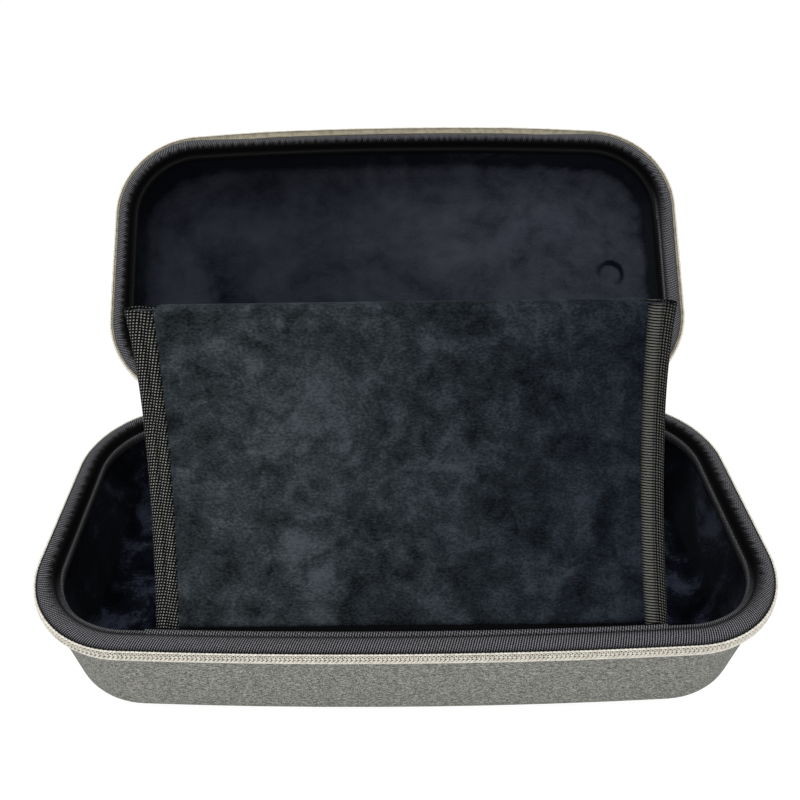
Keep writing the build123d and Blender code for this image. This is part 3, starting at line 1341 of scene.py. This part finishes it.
    def webbing(self, side: Side) -> Piece:
        """Ribbed webbing folded round a side edge of the flap.

        Args:
            side: left or right.

        Returns:
            The webbing.
        """
        edge, depth = self.width / 2, self.thickness
        inner = edge - self.webbing_width
        corners: Section = [
            (inner - 0.1, -1.1), (inner + 0.1, 0.0), (inner + 1.2, 0.45), (inner + 3.8, 0.45),
            (inner + self.stitch_line, -0.15), (inner + 5.1, 0.45), (edge - 2.2, 0.4), (edge - 0.8, -0.4),
            (edge, -1.9), (edge, -depth / 2), (edge, 1.9 - depth), (edge - 0.8, 0.4 - depth),
            (edge - 2.2, -0.4 - depth), (inner, -0.3 - depth),
        ]
        section = rounded(corners, 41)
        top = self.length - self.webbing_gap
        rows = len(section) - 1
        tape, along, order = add_grid(f"flap_webbing_{side.name.lower()}", self.webbing_columns, rows)
        across, out = along_rows(section, rows * (order if side is Side.LEFT else 1 - order))
        up = self.hem + along * (top - self.hem)
        spread = self.top_spread * np.clip((up - top) / self.splay_run + 1, 0, 1) ** 2
        splayed = across + spread * (across - inner) / self.webbing_width
        past = across - inner - self.stitch_line
        drop = self.rib_droop * np.clip(past, 0, None) ** 2 - self.rib_slope * np.clip(-past, 0, None)
        plain = np.clip((top - self.hem_fold - up) / 0.4, 0, 1)
        rib = self.rib_height * np.sin(math.tau * (up + drop) / self.rib_pitch) * plain
        front = np.clip((out + depth / 2) / (depth / 2), -1, 1)
        set_points(tape, self.seat(side.value * splayed, up, out + rib * front))
        set_uv(tape, (up + drop) * MM, across * MM)
        # Painted light and shade on the webbing: lighter across its face, and darker at its rolled edges,
        # along the stitch line and at its top end.
        lit_face = window(across, inner + 0.8, edge - 1.0, 1.6)
        sewn = window(past, -0.5, 0.5, 0.8)
        paint(tape, "wear_and_light", 0.45 + 0.4 * lit_face - 0.35 * sewn - 0.3 * (1 - plain))
        apply_modifier(tape, "SOLIDIFY", thickness=self.webbing_wall * MM, offset=-1.0)
        shade(tape, 60.0)
        dress(tape, self.finishes.webbing[side])
        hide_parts(f"flap_binding_{side.name.lower()}")
        return tape


@dataclass
class ClothHinges:
    """The strips of cloth that bend: the lid's hinge and the flap's seam."""

    rim: Rim
    flap: DividerFlap
    finishes: Finishes
    strip_outset: float = 1.7
    strip_drop: float = 8.0
    strip_bend: float = 4.5
    wall: float = 0.7
    hinge_rows: int = 24
    hinge_wear: float = 0.75
    seam_rows: int = 19

    def build(self) -> list[Piece]:
        """Make both strips."""
        return [self.lid_hinge(), self.flap_seam()]

    def ribbon(
        self, name: str, half_width: float, route: Array, finish: Material
    ) -> tuple[Piece, tuple[float, float]]:
        """A strip of tape along x with the given section.

        Args:
            name: its name.
            half_width: half of its length along x in millimetres.
            route: rows of y and z in metres, how far the row follows the front rim's bow, and its painted
                light and rubbing.
            finish: its material.

        Returns:
            The strip and its flat size in metres.
        """
        rows = len(route) - 1
        strip, across, order = add_grid(name, round(half_width), rows)
        order = order * rows
        y, z, bows, wear_and_light = along_rows(route, order)
        across = (2 * across - 1) * half_width
        bow = self.rim.sizes.front_bow * (2 * across / self.rim.sizes.rim_width) ** 2
        set_points(strip, np.c_[across * MM, y + bows * bow * MM, z])
        width = lengths(route)
        set_uv(strip, across * MM, np.interp(order, np.arange(rows + 1), width))
        paint(strip, "wear_and_light", wear_and_light)
        apply_modifier(strip, "SOLIDIFY", thickness=self.wall * MM, offset=0.0)
        shade(strip)
        return dress(strip, finish), (float(width[-1]), 2 * half_width * MM)

    def lid_hinge(self) -> Piece:
        """The sewn strip between the backs of the halves.

        Returns:
            The strip.
        """
        sizes = self.rim.sizes
        along = np.array([sizes.hinge_offset - self.strip_outset] * 2)
        base = self.rim.seat(Half.BASE, np.zeros(2), along, np.array([self.strip_drop, self.strip_bend]))
        lid = self.rim.seat(Half.LID, np.zeros(2), along, np.array([self.strip_bend, self.strip_drop]))
        axis = np.array([[0.0, sizes.hinge_y * MM, sizes.base_height * MM]])
        route = rounded([(p[1], p[2]) for p in np.vstack([base, axis, lid])], self.hinge_rows, 3)
        route = np.c_[route, np.zeros(self.hinge_rows), np.full(self.hinge_rows, self.hinge_wear)]
        strip, flat = self.ribbon("hinge_cloth", sizes.hinge_length / 2, route, self.finishes.binding)
        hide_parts("hinge_strip")
        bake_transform(strip)
        return strip

    def flap_seam(self) -> Piece:
        """The inner edge of the rim tape where it takes in the flap's foot.

        Returns:
            The strip.
        """
        flap, sizes = self.flap, self.rim.sizes
        lip = [(-5.3, 5.4), (-5.5, 2.1), (-5.9, 1.5), (-6.4, 1.3), (-7.0, 1.5), (-7.4, 2.2), (-7.6, 3.2)]
        corners: Section = [(-sizes.rim_depth / 2 - out, sizes.base_height - depth) for out, depth in lip]
        foot = flap.seat(np.zeros(2), np.array([0.3, 1.0]), np.array([0.6, 0.5]))[:, 1:] / MM
        corners += [tuple(spot) for spot in foot]
        follow = np.clip(np.linspace(2.2, 0.0, self.seam_rows), 0, 1)
        across = np.linspace(0, 1, self.seam_rows)
        # Painted shade where the tape turns down at both ends, into the rim and into the gap before the
        # flap's foot, and painted light on the lip between.
        wear_and_light = np.interp(across, (0.2, 0.3, 0.6, 0.66), (0.1, 0.9, 0.9, 0.0))
        route = np.c_[rounded(corners, self.seam_rows) * MM, follow, wear_and_light]
        strip, flat = self.ribbon("flap_seam_cloth", flap.width / 2, route, self.finishes.binding)
        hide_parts("flap_seam_tape")
        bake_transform(strip)
        return strip


# ---- studio ----


@dataclass(frozen=True)
class Studio:
    """Floor, light and the photograph's camera."""

    focal: float = 807.615
    place: tuple[float, float, float] = (-7.572, -257.808, 315.319)
    pitch: float = 37.976
    yaw: float = -0.708
    roll: float = -1.142
    centre: tuple[float, float] = (-24.678, 4.51)
    frame_px: float = 800.0
    sky: float = 0.42
    floor_glow: float = 0.78
    floor_light: float = 1.15
    aim: tuple[float, float, float] = (0.0, 0.03, 0.06)
    lamps: tuple[tuple[str, tuple[float, float, float], float, float], ...] = (
        ("top_lamp", (-0.2, 0.15, 1.5), 1.2, 15.0),
        ("front_lamp", (-0.4, -1.3, 0.8), 1.0, 12.0),
        ("right_lamp", (1.3, -0.4, 0.8), 0.9, 5.0),
    )

    def build(self) -> None:
        """Make the floor, the lights and the camera."""
        self.floor()
        self.lights()
        self.camera()

    @staticmethod
    def seen(tree: Tree) -> Socket:
        """Tell the rays that are seen from those that only light.

        Args:
            tree: a node tree.

        Returns:
            One for rays seen straight, by gloss or through glass, or else nothing.
        """
        path = add_node(tree, "LightPath").outputs
        seen = path["Is Camera Ray"]
        for ray in ("Is Glossy Ray", "Is Transmission Ray"):
            seen = calc(tree, "MAXIMUM", seen, path[ray])
        return seen

    def floor(self) -> None:
        """A wide pale floor that shows as white and keeps the case's shadow."""
        bpy.ops.object.select_all(action="DESELECT")
        bpy.ops.mesh.primitive_plane_add(size=8.0, location=(0, 0, 0))
        floor = name_piece("studio_floor")
        material = bpy.data.materials.new("pale_floor")
        material.use_nodes = True
        tree = material.node_tree
        tree.nodes.clear()
        share = calc(tree, "MULTIPLY", self.seen(tree), self.floor_glow)
        matt = add_node(tree, "BsdfDiffuse", {"Color": (0.85, 0.85, 0.85, 1.0)}).outputs[0]
        white = add_node(tree, "Emission", {"Color": WHITE, "Strength": self.floor_light}).outputs[0]
        mixed = add_node(tree, "MixShader", {0: share, 1: matt, 2: white}).outputs[0]
        add_node(tree, "OutputMaterial", {"Surface": mixed})
        dress(floor, material)

    def lights(self) -> None:
        """A soft sky and three large soft lamps."""
        scene = bpy.context.scene
        world = scene.world or bpy.data.worlds.new("studio")
        scene.world = world
        world.use_nodes = True
        tree = world.node_tree
        tree.nodes.clear()
        sky, white = (
            add_node(tree, "Background", {"Color": WHITE, "Strength": strength}).outputs[0]
            for strength in (self.sky, 1.0)
        )
        mixed = add_node(tree, "MixShader", {0: self.seen(tree), 1: sky, 2: white})
        add_node(tree, "OutputWorld", {"Surface": mixed.outputs[0]})
        for name, spot, size, power in self.lamps:
            data = bpy.data.lights.new(name, "AREA")
            data.size = size
            data.energy = power
            lamp = bpy.data.objects.new(name, data)
            lamp.location = spot
            lamp.rotation_mode = "QUATERNION"
            lamp.rotation_quaternion = (Vector(self.aim) - Vector(spot)).to_track_quat("-Z", "Y")
            scene.collection.objects.link(lamp)
        scene.view_settings.view_transform = "Standard"

    def camera(self) -> None:
        """The camera that the photograph's outlines were fitted with."""
        pitch, yaw, roll = (math.radians(a) for a in (self.pitch, self.yaw, self.roll))
        ahead = Vector((math.sin(yaw) * math.cos(pitch), math.cos(yaw) * math.cos(pitch), -math.sin(pitch)))
        right = Vector((math.cos(yaw), -math.sin(yaw), 0.0))
        up = right.cross(ahead)
        right_turned = math.cos(roll) * right + math.sin(roll) * up
        up_turned = -math.sin(roll) * right + math.cos(roll) * up
        data = bpy.data.cameras.new("photo_camera")
        data.sensor_fit = "HORIZONTAL"
        data.sensor_width = 36.0
        data.lens = 36.0 * self.focal / self.frame_px
        data.shift_x = -self.centre[0] / self.frame_px
        data.shift_y = self.centre[1] / self.frame_px
        data.clip_start, data.clip_end = 0.01, 50.0
        camera = bpy.data.objects.new("photo_camera", data)
        axes = Matrix((right_turned, up_turned, -ahead)).transposed().to_4x4()
        camera.matrix_world = Matrix.Translation(Vector(self.place) * MM) @ axes
        bpy.context.scene.collection.objects.link(camera)
        bpy.context.scene.camera = camera


def main() -> None:
    """Build the case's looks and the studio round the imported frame."""
    logging.basicConfig(level=logging.INFO, format="%(name)s: %(message)s")
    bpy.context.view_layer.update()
    sizes = CaseSizes()
    finishes = Finishes(sizes.lid_angle)
    rim = Rim(sizes)
    pieces = Shells(finishes).build(frame["nodes"])
    for half, velour in ((Half.BASE, finishes.base_lining), (Half.LID, finishes.lid_lining)):
        pieces.append(PlushLining(rim, half).build(velour))
        pieces += RimTrim(rim, half, finishes).build()
    flap = DividerFlap(finishes)
    pieces += flap.build()
    pieces += ClothHinges(rim, flap, finishes).build()
    for piece in pieces:
        LOG.info("%s: %d faces", piece.name, len(piece.data.polygons))
    Studio().build()


if __name__ == "__main__":
    main()
